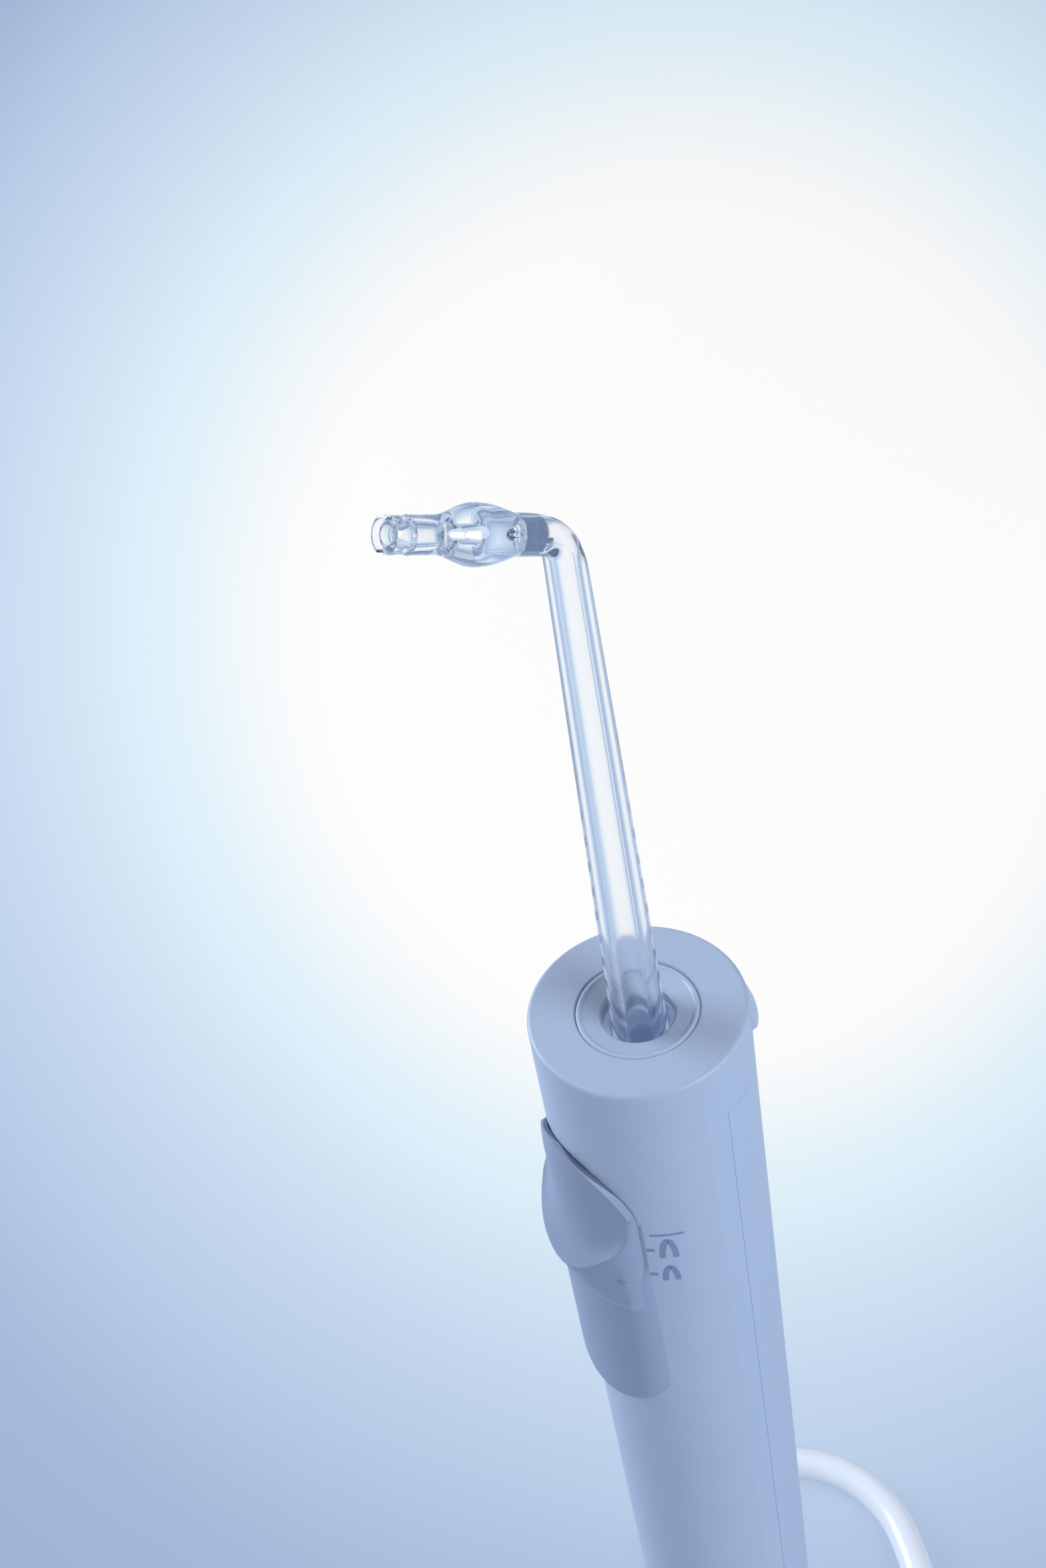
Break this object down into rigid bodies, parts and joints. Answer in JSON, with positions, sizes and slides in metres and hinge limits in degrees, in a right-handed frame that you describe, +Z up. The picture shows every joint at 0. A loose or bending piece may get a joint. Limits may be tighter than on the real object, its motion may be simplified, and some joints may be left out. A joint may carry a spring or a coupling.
{
  "type": "oral irrigator handpiece",
  "caption": "Oral irrigator handpiece: a slim round handle with a thumb slide and a nozzle release, a clear bent jet nozzle with a bulb-shaped tip, and a coiled supply hose.",
  "frame": {"origin": "on the handle axis at the lower end of the round tail seat that stands in a holder", "axes": "+Z up the handle axis towards the nozzle, -Y towards the slide switch and the nozzle tip, +X to the right seen from the front"},
  "size_m": [0.1443, 0.0992, 0.3065],
  "materials": {
    "shell": "satin",
    "switch": "satin",
    "clear": "polished and clear",
    "insert": "satin",
    "inner": "matte",
    "seal": "matte",
    "boot": "matte",
    "spring_steel": "bright",
    "hose": "translucent"
  },
  "bodies": {
    "housing": {"body_shell": "shell", "rear_cover": "shell", "socket_block": "inner", "nozzle_clip": "spring_steel", "release_springs": "spring_steel", "switch_plate": "switch", "detent_leaf": "spring_steel", "valve_body": "inner", "valve_plug": "insert", "valve_screws": "spring_steel", "outlet_tube": "inner", "inlet_barb": "insert", "supply_tube": "hose", "tail_cap": "shell", "tail_seal": "seal", "strain_relief": "boot", "hose_run": "hose", "hose_coil": "hose", "hose_tail": "hose", "hose_tie": "switch", "pump_connector": "insert", "connector_seal": "seal"},
    "collar": {"collar_ring": "shell", "turn_sleeve": "inner"},
    "nozzle": {"nozzle_foot": "insert", "nozzle_seal": "seal", "nozzle_stem": "clear", "bulb_shell": "clear", "outlet_cap": "clear", "mixing_jet": "clear", "filter_sleeve": "insert"},
    "slide": {"thumb_slide": "switch", "slide_carrier": "inner", "valve_spool": "insert", "spool_seals": "seal"},
    "button": {"release_button": "switch"}
  },
  "joints": [
    {"name": "mode_slide", "type": "slide", "parent": "housing", "child": "slide", "axis": [0, 0, 1], "range_m": [0, 0.0054], "deforming": ["detent_leaf"]},
    {"name": "release_press", "type": "slide", "parent": "housing", "child": "button", "axis": [0, -1, 0], "range_m": [0, 0.002], "stiffness_N_per_m": 500, "springref_m": -0.002, "deforming": ["release_springs", "nozzle_clip"]},
    {"name": "nozzle_turn", "type": "hinge", "parent": "housing", "child": "collar", "pos_m": [0, 0, 0.16], "axis": [0, 0, 1], "continuous": true},
    {"name": "nozzle_pull", "type": "slide", "parent": "collar", "child": "nozzle", "axis": [0, 0, 1], "range_m": [0, 0.034], "deforming": ["nozzle_clip"]}
  ]
}
